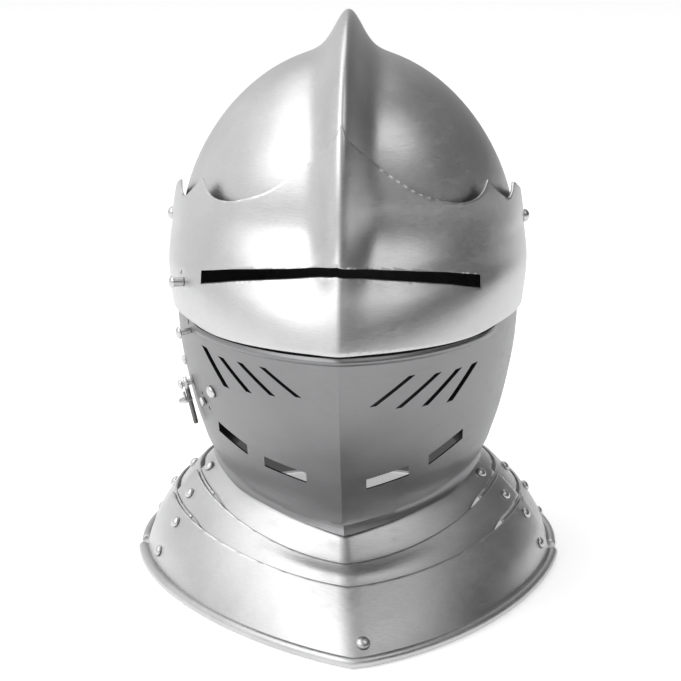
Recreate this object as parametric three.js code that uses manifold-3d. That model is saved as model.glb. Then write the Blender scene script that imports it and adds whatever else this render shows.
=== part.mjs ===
// Close helmet of steel plate: a combed skull, a visor and a bevor that turn on one pair of pivots,
// and a gorget of three lames in front and three behind, the last of each with a rolled rim.
// Millimetres, +Z up, the face towards -Y, standing on the rolled rim of the gorget.
import * as THREE from "three";
import { mergeVertices } from "three/addons/utils/BufferGeometryUtils.js";
import Module from "manifold-3d";

const wasm = await Module();
wasm.setup();

// Driving sizes of the head piece, measured from the pivots
const pivotHeight = 212; // above the surface that the rim stands on
const skullHalfWidth = 97.5;
const crownRadius = 99; // to the crown and to the brow, under the comb
const crownFullness = 0.62; // 0.5 is a round dome, more is a keeled one
const napeDepth = 118;
const combHeight = 21;
const combSpread = 10.5; // half the comb's breadth at a third of its height
const neckDrop = 146; // down to the narrowest part of the neck
const neckOverhang = 6; // the skull's edge below the narrowest part

// Plates and the room between them
const skullPlate = 1.6;
const visorPlate = 1.5;
const bevorPlate = 1.5;
const lamePlate = 1.3;
const bevorClearance = 1.5; // skull to bevor, at the sides
const visorClearance = 1.6; // bevor to visor, at the sides
const browClearance = 2.5; // skull and comb to visor, over the brow
const lameGap = 0.5; // one lame to the next
const neckRoom = 1.7; // the skull's neck to the innermost lame
const seatGap = 0.3; // a rivet's head to its plate

// Face opening of the skull, seen from the side
const browEdge = 14; // above the pivots
const cheekEdge = 30; // ahead of the pivots
const browCorner = 18;

// Visor
const prowReach = 147; // pivots to the visor's lower edge, ahead
const visorWrap = 106; // degrees round from the front to the rear end
const ridgeSpread = 11.5; // half the breadth of the ridge that goes over the comb
const sightHalfLength = 77.5;
const sightShift = 1.5; // of its middle, towards the wearer's right
const sightHeight = 4.8; // in the middle

// Bevor
const bevorReach = 146; // pivots to its upper rim, ahead
const bevorWrap = 97; // degrees round from the front to the rear edge
const rimTurn = 1.6; // how far the upper rim is turned out
const rimBand = 4.5; // height of the turned rim
const breathWidth = 3.6; // of the slanting slits, from side to side
const slotHeight = 7.6; // of the lower slots

// Gorget, at the outside of the innermost lame
const gorgetHalfWidth = 121;
const gorgetFront = 160; // pivots to the rim, ahead
const gorgetBack = 136;
const gorgetShift = 14; // how far behind the pivots the rim is widest
const rollRadius = 3;
const frontLameWrap = 80; // degrees round from the front to a front lame's end
const keelLean = 4; // degrees that the front keel has turned towards the wearer's left at the rim
const backLameStart = 60; // degrees round from the front to a back lame's end
const rollGap = 4; // degrees between the front roll's end and the back one's

// Rivets, pegs and the catch
const pivotShank = 2.6;
const pivotHole = 2.9;
const pivotHead = 3.9;
const pivotBurr = 4.6;
const burrHeight = 1.2;
const burrGap = 1; // the burr to the skull, which curves in round it
const lameRivet = 3.4;
const centreRivet = 4;
const sideRivet = 3;
const studRadius = 3.9;
const visorPegSize = { stem: 2.7, head: 3.4, length: 8 };
const bevorPegSize = { stem: 1.7, head: 3.5, length: 8.5 };
const catchPegSize = { stem: 1.8, head: 3.1, length: 8.4 };
const eyeGap = 0.4; // the hook's eye to the peg that it turns on
const eyeWall = 1.7;
const eyeHeight = 2.2;
const eyeLift = 2.4; // the eye's underside off the plate
const rodRadius = 1.4;
const rodLength = 26; // from the peg's middle to the rod's end
const collarRadius = 4.3;
const collarHeight = 1.4;
const collarDrop = 10; // from the peg's middle
const linkRadius = 0.9;
const buttonSize = 4.4;
const buttonHeight = 2;
const buttonTurn = 40; // degrees
const smallHole = 1.1;
const pegSlotWidth = 1.8;
const catchSlotLength = 9.5;
const pegSlotLength = 5;

const degree = Math.PI / 180;

// The steel of every piece, a shade apart
const steel = {
  skull: 0xc9c9c9,
  visor: 0xcccccc,
  bevor: 0xb9b9b9,
  lame: 0xc4c4c4,
  rivet: 0xd6d6d6,
};

function smoothStep(from, to, at) {
  const share = THREE.MathUtils.clamp((at - from) / (to - from), 0, 1);
  return share * share * (3 - 2 * share);
}

// A column of a table, read smoothly between rows that ascend by the key.
function read(rows, key, column, at) {
  const last = rows.length - 1;
  if (at <= rows[0][key]) return rows[0][column];
  if (at >= rows[last][key]) return rows[last][column];
  const upper = rows.findIndex((row) => row[key] > at);
  const slope = (index) => {
    const before = rows[Math.max(index - 1, 0)];
    const after = rows[Math.min(index + 1, last)];
    return (after[column] - before[column]) / (after[key] - before[key]);
  };
  const low = rows[upper - 1];
  const high = rows[upper];
  const span = high[key] - low[key];
  const share = (at - low[key]) / span;
  const rest = 1 - share;
  return (
    low[column] * rest * rest * (1 + 2 * share) +
    high[column] * share * share * (3 - 2 * share) +
    slope(upper - 1) * span * share * rest * rest -
    slope(upper) * span * share * share * rest
  );
}

// Solids

function solidFrom(geometry) {
  const bare = new THREE.BufferGeometry();
  bare.setAttribute("position", geometry.getAttribute("position"));
  bare.setIndex(geometry.index);
  const merged = mergeVertices(bare, 1e-4);
  const index = merged.index.array;
  const kept = [];
  for (let i = 0; i < index.length; i += 3) {
    const [a, b, c] = [index[i], index[i + 1], index[i + 2]];
    if (a !== b && b !== c && c !== a) kept.push(a, b, c);
  }
  return new wasm.Manifold(
    new wasm.Mesh({
      numProp: 3,
      vertProperties: Float32Array.from(merged.getAttribute("position").array),
      triVerts: Uint32Array.from(kept),
    }),
  );
}

function geometryFrom(solid) {
  const mesh = solid.getMesh();
  const geometry = new THREE.BufferGeometry();
  geometry.setAttribute("position", new THREE.BufferAttribute(mesh.vertProperties, 3));
  geometry.setIndex(new THREE.BufferAttribute(mesh.triVerts, 1));
  geometry.computeVertexNormals();
  return geometry;
}

// Outward normal of a surface of (angle, level) at a point.
function normalOf(surface, angle, level) {
  const step = 1e-3;
  const across = surface(angle + step, level).sub(surface(angle - step, level));
  const along = surface(angle, level + step).sub(surface(angle, level - step));
  return across.cross(along).normalize();
}

// A plate: a surface over (angle, level) between two edges, and the same surface moved in by its thickness.
// A round plate closes on itself, and a domed one ends in one point.
function plate({ surface, angles, low, high, rows, thickness, round, domed }) {
  const positions = [];
  const index = [];
  const stations = angles.length;
  const levels = rows + 1;
  const at = (side, station, level) => (side * stations + (station % stations)) * levels + level;
  for (const inset of [0, thickness]) {
    for (const angle of angles) {
      for (let row = 0; row <= rows; row += 1) {
        const level = THREE.MathUtils.lerp(low(angle), high(angle), row / rows);
        const tip = domed && row === rows;
        const out = tip ? new THREE.Vector3(0, 0, 1) : normalOf(surface, angle, level);
        positions.push(...surface(angle, level).addScaledVector(out, -inset).toArray());
      }
    }
  }
  const quad = (a, b, c, d) => index.push(a, b, c, a, c, d);
  const spans = round ? stations : stations - 1;
  for (let i = 0; i < spans; i += 1) {
    for (let j = 0; j < rows; j += 1) {
      quad(at(0, i, j), at(0, i + 1, j), at(0, i + 1, j + 1), at(0, i, j + 1));
      quad(at(1, i, j), at(1, i, j + 1), at(1, i + 1, j + 1), at(1, i + 1, j));
    }
    quad(at(0, i, 0), at(1, i, 0), at(1, i + 1, 0), at(0, i + 1, 0));
    if (!domed) quad(at(0, i, rows), at(0, i + 1, rows), at(1, i + 1, rows), at(1, i, rows));
  }
  if (!round) {
    for (let j = 0; j < rows; j += 1) {
      quad(at(0, 0, j), at(0, 0, j + 1), at(1, 0, j + 1), at(1, 0, j));
      const end = stations - 1;
      quad(at(0, end, j), at(1, end, j), at(1, end, j + 1), at(0, end, j + 1));
    }
  }
  const geometry = new THREE.BufferGeometry();
  geometry.setAttribute("position", new THREE.Float32BufferAttribute(positions, 3));
  geometry.setIndex(index);
  return solidFrom(geometry);
}

// Angles from -reach to reach, closer together over the ridge in the middle.
function ridgedAngles(reach, halfCount, crowding) {
  const angles = [];
  for (let i = -halfCount; i <= halfCount; i += 1) {
    const share = i / halfCount;
    angles.push(reach * degree * ((1 - crowding) * share + crowding * share ** 3));
  }
  return angles;
}

// Skull

// Levels as shares of the neck's drop; widths and depths as shares of the skull's own.
const skullLevels = [
  { level: -1.05, width: 0.762, front: 0.56, back: 0.678, point: 1.0 },
  { level: -0.99, width: 0.765, front: 0.56, back: 0.678, point: 1.0 },
  { level: -0.91, width: 0.832, front: 0.7, back: 0.7, point: 1.0 },
  { level: -0.8, width: 0.905, front: 0.87, back: 0.75, point: 1.0 },
  { level: -0.6, width: 0.97, front: 0.97, back: 0.86, point: 1.04 },
  { level: -0.45, width: 1.0, front: 1, back: 0.93, point: 1.1 },
  { level: -0.25, width: 1.01, front: 1, back: 0.98, point: 1.18 },
  { level: 0, width: 1, front: 1, back: 1, point: 1.24 },
];

// The comb fades out above the face opening and down the nape, at these shares of the crown's radius.
const combFade = { brow: 0.12, forehead: 0.55, nape: -0.5, poll: 0.75 };

function combShare(rise, behind) {
  const share = rise / crownRadius;
  if (behind) return smoothStep(combFade.nape, combFade.poll, share);
  return smoothStep(combFade.brow, combFade.forehead, share);
}

// The back of the skull is drawn out towards the nape, from nothing at the poll to all of it at the pivots.
function backStretchAt(rise) {
  const drawn = 1 - smoothStep(0, combFade.poll, rise / crownRadius);
  return 1 + (napeDepth / crownRadius - 1) * drawn;
}

function domeRadius(side, halfWidth, radius, fullness) {
  return radius * Math.max(1 - (side / halfWidth) ** 2, 0) ** fullness;
}

function combAt(side, rise, behind, inset) {
  const spread = combSpread - inset;
  return combHeight * combShare(rise, behind) * Math.exp(-((side / spread) ** 2));
}

// Half the width of a dome at a height above the pivots.
function domeHalfWidth(rise, radiusAt, widest) {
  let near = 0;
  let far = widest;
  for (let i = 0; i < 40; i += 1) {
    const middle = (near + far) / 2;
    if (radiusAt(middle) > rise) near = middle;
    else far = middle;
  }
  return near;
}

function skullHalfWidthAt(rise) {
  return skullHalfWidth * read(skullLevels, "level", "width", rise / neckDrop);
}

// Below the pivots, by angle round and by rise.
function skullBelow(angle, rise, inset) {
  const level = rise / neckDrop;
  const side = (skullHalfWidthAt(rise) - inset) * Math.sin(angle);
  const turn = Math.abs(Math.cos(angle)) ** read(skullLevels, "level", "point", level);
  const behind = Math.cos(angle) < 0;
  const comb = combAt(side, rise, behind, inset);
  const depth = behind ? napeDepth : crownRadius;
  const reach = (depth * read(skullLevels, "level", behind ? "back" : "front", level) - inset) * turn;
  return new THREE.Vector3(side, behind ? reach + comb * backStretchAt(rise) : -reach - comb, rise);
}

// Above the pivots, by angle round and by the swing from the brow over the crown to the poll.
function skullAbove(angle, swing, inset) {
  const behind = Math.cos(swing) < 0;
  const side = (skullHalfWidth - inset) * Math.sin(angle);
  const rise = crownRadius * Math.sin(swing);
  const dome = domeRadius(side, skullHalfWidth - inset, crownRadius - inset, crownFullness);
  const radius = dome + combAt(side, rise, behind, inset);
  const stretch = behind ? backStretchAt(rise) : 1;
  return new THREE.Vector3(side, -radius * Math.cos(swing) * stretch, radius * Math.sin(swing));
}

// Visor

const visorCrown = crownRadius + browClearance + visorPlate;
const visorRidge = crownRadius + combHeight + browClearance + visorPlate;
const visorHalfWidth = skullHalfWidth + bevorClearance + bevorPlate + visorClearance + visorPlate;
const visorFullness = 0.56;

// Levels are shares of the neck's drop, widths of the visor's half width, reaches and ridges of the prow's.
const visorLevels = [
  { level: -0.44, width: 0.987, reach: 0.99, keel: 0.13, ridge: 1.0 },
  { level: -0.31, width: 1.006, reach: 0.985, keel: 0.13, ridge: 1.0 },
  { level: -0.22, width: 1.02, reach: 0.96, keel: 0.13, ridge: 0.975 },
  { level: -0.15, width: 1.024, reach: 0.915, keel: 0.12, ridge: 0.945 },
  { level: -0.08, width: 1.015, reach: 0.855, keel: 0.13, ridge: 0.91 },
  { level: 0, width: 1, reach: 0.79, keel: 0.1, ridge: 0.88 },
  { level: 0.1, width: 1, reach: 0.74, keel: 0.08, ridge: 0.855 },
];

function visorHalfWidthAt(rise) {
  const widthAt = read(visorLevels, "level", "width", rise / neckDrop);
  if (rise <= 0) return visorHalfWidth * widthAt;
  const radiusAt = (side) => domeRadius(side, visorHalfWidth, visorCrown, visorFullness);
  return domeHalfWidth(rise, radiusAt, visorHalfWidth);
}

// Depth of a level section that is keeled in front.
function keeledReach(angle, reach, keel) {
  const ahead = Math.max(Math.cos(angle), 0);
  return reach * ((1 - keel) * ahead + keel * Math.max(1 - Math.abs(Math.sin(angle)), 0));
}

function visorPoint(angle, rise) {
  const widest = visorHalfWidthAt(rise);
  if (Math.cos(angle) < 0) {
    return new THREE.Vector3(widest * Math.sign(Math.sin(angle)), -visorCrown * Math.cos(angle), rise);
  }
  const side = widest * Math.sin(angle);
  const level = rise / neckDrop;
  const radius = domeRadius(side, visorHalfWidth, visorCrown, visorFullness);
  const dome = Math.sqrt(Math.max(radius ** 2 - rise ** 2, 0));
  const keel = read(visorLevels, "level", "keel", level);
  const prow = keeledReach(angle, prowReach * read(visorLevels, "level", "reach", level), keel);
  const prowShare = 1 - smoothStep(-6, 22, rise);
  const base = THREE.MathUtils.lerp(dome, prow, prowShare);
  const domeMiddle = Math.sqrt(Math.max(visorCrown ** 2 - rise ** 2, 0));
  const prowMiddle = prowReach * read(visorLevels, "level", "reach", level);
  const baseMiddle = THREE.MathUtils.lerp(domeMiddle, prowMiddle, prowShare);
  const overComb = Math.sqrt(Math.max(visorRidge ** 2 - rise ** 2, 0));
  const lowRidge = prowReach * read(visorLevels, "level", "ridge", level);
  const ridge = THREE.MathUtils.lerp(overComb, lowRidge, prowShare);
  const raised = Math.max(ridge - baseMiddle, 0) * Math.exp(-((side / ridgeSpread) ** 2));
  return new THREE.Vector3(side, -base - raised, rise);
}

// The scalloped upper edge: rises above the pivots as shares of the crown's radius, by degrees round.
const browScallops = [
  { degrees: 0, rise: 0.72 },
  { degrees: 3, rise: 0.635 },
  { degrees: 7, rise: 0.56 },
  { degrees: 12, rise: 0.475 },
  { degrees: 18, rise: 0.395 },
  { degrees: 25, rise: 0.315 },
  { degrees: 31, rise: 0.273 },
  { degrees: 38, rise: 0.238 },
  { degrees: 45, rise: 0.23 },
  { degrees: 51, rise: 0.257 },
  { degrees: 56, rise: 0.32 },
  { degrees: 61, rise: 0.235 },
  { degrees: 66, rise: 0.182 },
  { degrees: 71, rise: 0.2 },
  { degrees: 76, rise: 0.25 },
  { degrees: 83, rise: 0.2 },
  { degrees: 93, rise: 0.15 },
  { degrees: 106, rise: 0.05 },
];

function visorTop(angle) {
  return crownRadius * read(browScallops, "degrees", "rise", Math.abs(angle) / degree);
}

const visorHem = [
  { degrees: 0, drop: 0.309 },
  { degrees: 20, drop: 0.314 },
  { degrees: 43, drop: 0.323 },
  { degrees: 58, drop: 0.315 },
  { degrees: 74, drop: 0.32 },
  { degrees: 86, drop: 0.315 },
  { degrees: 96, drop: 0.25 },
  { degrees: 106, drop: 0.09 },
];

function visorBottom(angle) {
  return -neckDrop * read(visorHem, "degrees", "drop", Math.abs(angle) / degree);
}

// Bevor

const bevorLayer = bevorClearance + bevorPlate;
const lameStep = lamePlate + lameGap;

const bevorLevels = [
  { level: -1.16, reach: 0.665, keel: 0.3 },
  { level: -1.07, reach: 0.665, keel: 0.3 },
  { level: -0.98, reach: 0.7, keel: 0.3 },
  { level: -0.85, reach: 0.78, keel: 0.29 },
  { level: -0.7, reach: 0.865, keel: 0.27 },
  { level: -0.55, reach: 0.935, keel: 0.22 },
  { level: -0.42, reach: 0.98, keel: 0.18 },
  { level: -0.33, reach: 1.0, keel: 0.15 },
  { level: 0, reach: 0.98, keel: 0.15 },
];
const rimTurnEnd = { from: 48, to: 60 }; // degrees round over which the turned rim dies away
const hemLayer = lameStep + 2 * lameGap + bevorPlate; // above the innermost lame
const hemBlend = 1.5; // how softly the bevor's foot runs out over the first lame

function bevorPoint(angle, rise) {
  const level = rise / neckDrop;
  const lameRoom = 2 * lameStep * smoothStep(-0.8, -1, level);
  const side = (skullHalfWidthAt(Math.min(rise, 0)) + bevorLayer + lameRoom) * Math.sin(angle);
  if (Math.cos(angle) < 0) {
    return new THREE.Vector3(side, -napeDepth * Math.cos(angle), rise);
  }
  const reach = bevorReach * read(bevorLevels, "level", "reach", level);
  const keel = read(bevorLevels, "level", "keel", level);
  const band = smoothStep(bevorTop(angle) - rimBand, bevorTop(angle) - rimBand / 2, rise);
  const round = Math.abs(angle) / degree;
  const turned = 1 + (rimTurn * band * (1 - smoothStep(rimTurnEnd.from, rimTurnEnd.to, round))) / bevorReach;
  const upper = new THREE.Vector3(side * turned, -keeledReach(angle, reach, keel) * turned, rise);
  if (rise > gorgetPoint(angle, 0).z) return upper;
  const foot = gorgetLayerPoint(angle, gorgetLevelAt(angle, rise), hemLayer);
  const beyond = Math.hypot(foot.x, foot.y) - Math.hypot(upper.x, upper.y);
  return upper.lerp(foot, smoothStep(-hemBlend, 0, beyond));
}

const bevorRim = [
  { degrees: 0, drop: 0.3175 },
  { degrees: 25, drop: 0.326 },
  { degrees: 45, drop: 0.333 },
  { degrees: 58, drop: 0.328 },
  { degrees: 66, drop: 0.275 },
  { degrees: 78, drop: 0.05 },
  { degrees: 86, drop: -0.055 },
  { degrees: 97, drop: -0.04 },
];

function bevorTop(angle) {
  return -neckDrop * read(bevorRim, "degrees", "drop", Math.abs(angle) / degree);
}

const bevorHem = [
  { degrees: 0, drop: 1.125 },
  { degrees: 20, drop: 1.1 },
  { degrees: 33, drop: 1.08 },
  { degrees: 48, drop: 1.06 },
  { degrees: 62, drop: 1.03 },
  { degrees: 76, drop: 1.008 },
  { degrees: 97, drop: 1 },
];

function bevorBottom(angle) {
  return -neckDrop * read(bevorHem, "degrees", "drop", Math.abs(angle) / degree);
}

// Gorget

const rimDrop = pivotHeight - rollRadius;
const gorgetDrop = rimDrop - neckDrop;

// The innermost lame's top edge lies round the skull's neck.
const gorgetNeck = {
  width: skullHalfWidth * skullLevels[0].width + neckRoom + lamePlate,
  back: napeDepth * skullLevels[0].back + neckRoom + lamePlate,
};

// Drops at the sides, ahead and behind, below the neck, as shares of the gorget's own.
const gorgetDrops = [
  { level: 0, side: -0.02, front: 0.05, back: 0 },
  { level: 0.2, side: 0.07, front: 0.27, back: 0.1 },
  { level: 0.4, side: 0.18, front: 0.47, back: 0.22 },
  { level: 0.6, side: 0.42, front: 0.58, back: 0.45 },
  { level: 0.8, side: 0.73, front: 0.8, back: 0.74 },
  { level: 1, side: 1, front: 1, back: 1 },
];

// Widths and depths behind are shares of the way from the neck's to the rim's, depths ahead of the rim's own.
const gorgetReaches = [
  { level: 0, width: 0, front: 0.56, back: 0, keel: 0.3 },
  { level: 0.2, width: 0.059, front: 0.585, back: 0.05, keel: 0.3 },
  { level: 0.4, width: 0.266, front: 0.672, back: 0.256, keel: 0.3 },
  { level: 0.6, width: 0.571, front: 0.745, back: 0.512, keel: 0.29 },
  { level: 0.8, width: 0.862, front: 0.88, back: 0.795, keel: 0.29 },
  { level: 1, width: 1, front: 1, back: 1, keel: 0.29 },
];

// The outside of the innermost lame, by angle round and by level from the neck (0) to the rim (1).
function gorgetPoint(angle, level) {
  const share = (column) => read(gorgetReaches, "level", column, level);
  const drops = (column) => read(gorgetDrops, "level", column, level);
  const ahead = Math.cos(angle);
  const shift = gorgetShift * level;
  const lean = ahead > 0 ? keelLean * degree * level * ahead * ahead : 0;
  const halfWidth = THREE.MathUtils.lerp(gorgetNeck.width, gorgetHalfWidth, share("width"));
  const side = halfWidth * Math.sin(angle + lean);
  const drop = THREE.MathUtils.lerp(drops("side"), drops(ahead > 0 ? "front" : "back"), ahead * ahead);
  const z = -neckDrop - gorgetDrop * drop;
  if (ahead < 0) {
    const behind = THREE.MathUtils.lerp(gorgetNeck.back, gorgetBack, share("back")) - shift;
    return new THREE.Vector3(side, shift - behind * ahead, z);
  }
  const reach = gorgetFront * share("front") + shift;
  return new THREE.Vector3(side, shift - keeledReach(angle, reach, share("keel")), z);
}

// The same surface moved out level, so that it stands off by the layer.
function gorgetLayerPoint(angle, level, layer) {
  const point = gorgetPoint(angle, level);
  const out = normalOf(gorgetPoint, angle, THREE.MathUtils.clamp(level, 0.01, 0.99)).negate();
  const flat = out.x * out.x + out.y * out.y;
  return point.add(new THREE.Vector3(out.x, out.y, 0).multiplyScalar(layer / flat));
}

function gorgetLevelAt(angle, rise) {
  let near = 0;
  let far = 1;
  for (let i = 0; i < 30; i += 1) {
    const middle = (near + far) / 2;
    if (gorgetPoint(angle, middle).z > rise) near = middle;
    else far = middle;
  }
  return near;
}

// From the top: where each lame starts and ends down the gorget. Where front and back lames lie
// over each other, at the sides, a lame ends at its short edge, just above the next one.
const lames = [
  { number: 1, top: 0, bottom: 0.46, short: 0.394, rows: 4 },
  { number: 2, top: 0.4, bottom: 0.66, short: 0.594, rows: 3 },
  { number: 3, top: 0.6, bottom: 1, short: 1, rows: 5 },
];
const lapEnd = { front: 60, back: 88 }; // degrees round where a lame's edge becomes the short one
const lapFade = 16;
const lameStation = 10; // degrees from one station round a lame to the next

// Levels are counted from the rim up here, so that the surface faces out.
function lameSurface(layer) {
  return (angle, level) => gorgetLayerPoint(angle, -level, layer);
}

function frontEdge(lame) {
  return (angle) => {
    const share = smoothStep(lapEnd.front, lapEnd.front - lapFade, Math.abs(angle) / degree);
    return -THREE.MathUtils.lerp(lame.short, lame.bottom, share);
  };
}

function backEdge(lame) {
  return (angle) => {
    const round = 180 - Math.abs(angle / degree - 180);
    const share = smoothStep(lapEnd.back, lapEnd.back + lapFade, round);
    return -THREE.MathUtils.lerp(lame.short, lame.bottom, share);
  };
}

// Cutting and placing

function tipped(geometry, matrix) {
  return solidFrom(geometry.applyMatrix4(matrix));
}

// A flat outline of (ahead, up), cut straight across the head from side to side.
function acrossHead(shape, reach) {
  const options = { depth: 2 * reach, bevelEnabled: false, curveSegments: 5 };
  const geometry = new THREE.ExtrudeGeometry(shape, options);
  const axes = [new THREE.Vector3(0, -1, 0), new THREE.Vector3(0, 0, 1), new THREE.Vector3(-1, 0, 0)];
  return tipped(geometry, new THREE.Matrix4().makeBasis(...axes).setPosition(reach, 0, 0));
}

// A flat outline of (side, up), cut straight back from in front of the face to a depth short of the pivots.
function fromAhead(shape, short) {
  const reach = prowReach + ridgeSpread;
  const options = { depth: reach - short, bevelEnabled: false, curveSegments: 3 };
  const geometry = new THREE.ExtrudeGeometry(shape, options);
  const axes = [new THREE.Vector3(1, 0, 0), new THREE.Vector3(0, 0, 1), new THREE.Vector3(0, -1, 0)];
  return tipped(geometry, new THREE.Matrix4().makeBasis(...axes).setPosition(0, -short, 0));
}

// The place of a piece that is made along +Z, with +Y up the plate: out from a surface by a gap.
function seatOn(surface, angle, level, gap) {
  const out = normalOf(surface, angle, level);
  const across = new THREE.Vector3(0, 0, 1).cross(out).normalize();
  const upward = out.clone().cross(across);
  const point = surface(angle, level).addScaledVector(out, gap);
  return new THREE.Matrix4().makeBasis(across, upward, out).setPosition(point);
}

function turned(profile, sides) {
  const points = profile.map(([radius, height]) => new THREE.Vector2(radius, height));
  return new THREE.LatheGeometry(points, sides).rotateX(Math.PI / 2);
}

function domeProfile(radius, height, base) {
  const profile = [];
  for (const lean of [0, 30, 60]) {
    profile.push([radius * Math.cos(lean * degree), base + height * Math.sin(lean * degree)]);
  }
  return [...profile, [0, base + height]];
}

const domeShare = 0.62; // a rivet head's height, as a share of its radius

function rivet(surface, angle, level, radius, sides = 7) {
  const profile = [[0, 0], ...domeProfile(radius, domeShare * radius, 0)];
  return tipped(turned(profile, sides), seatOn(surface, angle, level, seatGap));
}

function peg(surface, angle, level, { stem, head, length }) {
  const domeHeight = domeShare * head;
  const neck = length - domeHeight;
  const shank = [[0, 0], [stem, 0], [stem, neck - (head - stem) / 2]];
  const profile = [...shank, ...domeProfile(head, domeHeight, neck)];
  return tipped(turned(profile, 10), seatOn(surface, angle, level, seatGap));
}

// A hole or slot cut straight through a plate.
function holeThrough(surface, angle, level, geometry) {
  return tipped(geometry, seatOn(surface, angle, level, 0));
}

const cutDepth = 8;

function roundCutter(radius) {
  return new THREE.CylinderGeometry(radius, radius, cutDepth, 8).rotateX(Math.PI / 2);
}

const helmet = new THREE.Group();
const head = new THREE.Group();
head.position.z = pivotHeight;
helmet.add(head);

function addPiece(name, solid, colour) {
  const material = new THREE.MeshStandardMaterial({ color: colour, roughness: 0.35, metalness: 1 });
  const mesh = new THREE.Mesh(geometryFrom(solid), material);
  mesh.name = name;
  head.add(mesh);
}

// The pivot's bore, through every plate on both sides of the head
const boreReach = visorHalfWidth + visorPlate;
const bore = tipped(
  new THREE.CylinderGeometry(pivotHole, pivotHole, 2 * boreReach, 12),
  new THREE.Matrix4().makeRotationZ(Math.PI / 2),
);

// Skull

const combCrowding = 0.7; // of the stations towards the comb
const neckCrowding = 1.6; // of the rings towards the neck

function roundAngles(count, crowding) {
  const angles = [];
  for (let i = 0; i < count; i += 1) {
    const turn = i / count;
    const share = turn - (crowding * Math.sin(4 * Math.PI * turn)) / (4 * Math.PI);
    angles.push(2 * Math.PI * share);
  }
  return angles;
}

const faceOutline = new THREE.Shape();
faceOutline.moveTo(cheekEdge, -neckDrop - 4 * neckOverhang);
faceOutline.lineTo(cheekEdge, browEdge - browCorner);
faceOutline.quadraticCurveTo(cheekEdge, browEdge, cheekEdge + browCorner, browEdge);
faceOutline.lineTo(2 * crownRadius, browEdge);
faceOutline.lineTo(2 * crownRadius, -neckDrop - 4 * neckOverhang);

const crownRise = crownRadius + combHeight;
const skullFoot = -neckDrop - neckOverhang;

// The skull as one plate: rings below the pivots, and arcs from front to back over the crown above them.
function skullShell({ stations, rows, arcs }) {
  const angles = roundAngles(stations, combCrowding);
  const quarter = stations / 4;
  const positions = [];
  const index = [];
  const ringSize = stations * (rows + 1);
  const sheetSize = ringSize + (2 * quarter - 1) * (arcs - 1);
  for (const inset of [0, skullPlate]) {
    for (let row = 0; row <= rows; row += 1) {
      const rise = skullFoot * (1 - (row / rows) ** neckCrowding);
      for (const angle of angles) positions.push(...skullBelow(angle, rise, inset).toArray());
    }
    for (let i = 1 - quarter; i < quarter; i += 1) {
      for (let j = 1; j < arcs; j += 1) {
        const angle = angles[(i + stations) % stations];
        positions.push(...skullAbove(angle, (Math.PI * j) / arcs, inset).toArray());
      }
    }
  }
  const ring = (sheet, i, row) => sheet * sheetSize + row * stations + ((i + stations) % stations);
  const arc = (sheet, i, j) => {
    if (j === 0 || Math.abs(i) === quarter) return ring(sheet, i, rows);
    if (j === arcs) return ring(sheet, 2 * quarter - i, rows);
    return sheet * sheetSize + ringSize + (i + quarter - 1) * (arcs - 1) + j - 1;
  };
  const quad = (a, b, c, d) => index.push(a, b, c, a, c, d);
  for (const sheet of [0, 1]) {
    const face = sheet === 0 ? quad : (a, b, c, d) => quad(a, d, c, b);
    for (let i = 0; i < stations; i += 1) {
      for (let row = 0; row < rows; row += 1) {
        const above = row + 1;
        face(ring(sheet, i, row), ring(sheet, i + 1, row), ring(sheet, i + 1, above), ring(sheet, i, above));
      }
    }
    for (let i = -quarter; i < quarter; i += 1) {
      for (let j = 0; j < arcs; j += 1) {
        face(arc(sheet, i, j), arc(sheet, i + 1, j), arc(sheet, i + 1, j + 1), arc(sheet, i, j + 1));
      }
    }
  }
  for (let i = 0; i < stations; i += 1) {
    quad(ring(0, i, 0), ring(1, i, 0), ring(1, i + 1, 0), ring(0, i + 1, 0));
  }
  const geometry = new THREE.BufferGeometry();
  geometry.setAttribute("position", new THREE.Float32BufferAttribute(positions, 3));
  geometry.setIndex(index);
  return solidFrom(geometry);
}

const skullSolid = skullShell({ stations: 36, rows: 7, arcs: 20 });
addPiece("skull", skullSolid.subtract(acrossHead(faceOutline, crownRise)).subtract(bore), steel.skull);

// Visor

// The sight: its middle line and height across the face, as shares of the neck's drop and of its height.
const sightLine = [
  { side: 0, middle: -0.024, height: 1 },
  { side: 0.12, middle: -0.037, height: 1 },
  { side: 0.26, middle: -0.051, height: 1 },
  { side: 0.5, middle: -0.068, height: 1.1 },
  { side: 0.75, middle: -0.092, height: 1.25 },
  { side: 0.94, middle: -0.12, height: 1.38 },
  { side: 1, middle: -0.13, height: 1.4 },
];

function sightOutline() {
  const corners = [];
  const steps = 8;
  for (const edge of [1, -1]) {
    for (let i = -steps; i <= steps; i += 1) {
      const share = (edge * i) / steps;
      const middle = neckDrop * read(sightLine, "side", "middle", Math.abs(share));
      const half = (sightHeight / 2) * read(sightLine, "side", "height", Math.abs(share));
      corners.push(new THREE.Vector2(sightHalfLength * share - sightShift, middle - edge * half));
    }
  }
  return new THREE.Shape(corners);
}

const visorShell = plate({
  surface: visorPoint,
  angles: ridgedAngles(visorWrap, 18, 0.5),
  low: visorBottom,
  high: visorTop,
  rows: 9,
  thickness: visorPlate,
});
const visorPegSeat = { angle: -59.5 * degree, rise: -0.179 * neckDrop };
const visorHoleSeat = { angle: -61 * degree, rise: -0.147 * neckDrop };
const visorHole = holeThrough(visorPoint, visorHoleSeat.angle, visorHoleSeat.rise, roundCutter(smallHole));
const visorSight = fromAhead(sightOutline(), cheekEdge);
addPiece("visor", visorShell.subtract(visorSight).subtract(visorHole).subtract(bore), steel.visor);
addPiece("visor_peg", peg(visorPoint, visorPegSeat.angle, visorPegSeat.rise, visorPegSize), steel.rivet);

// Bevor

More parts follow.
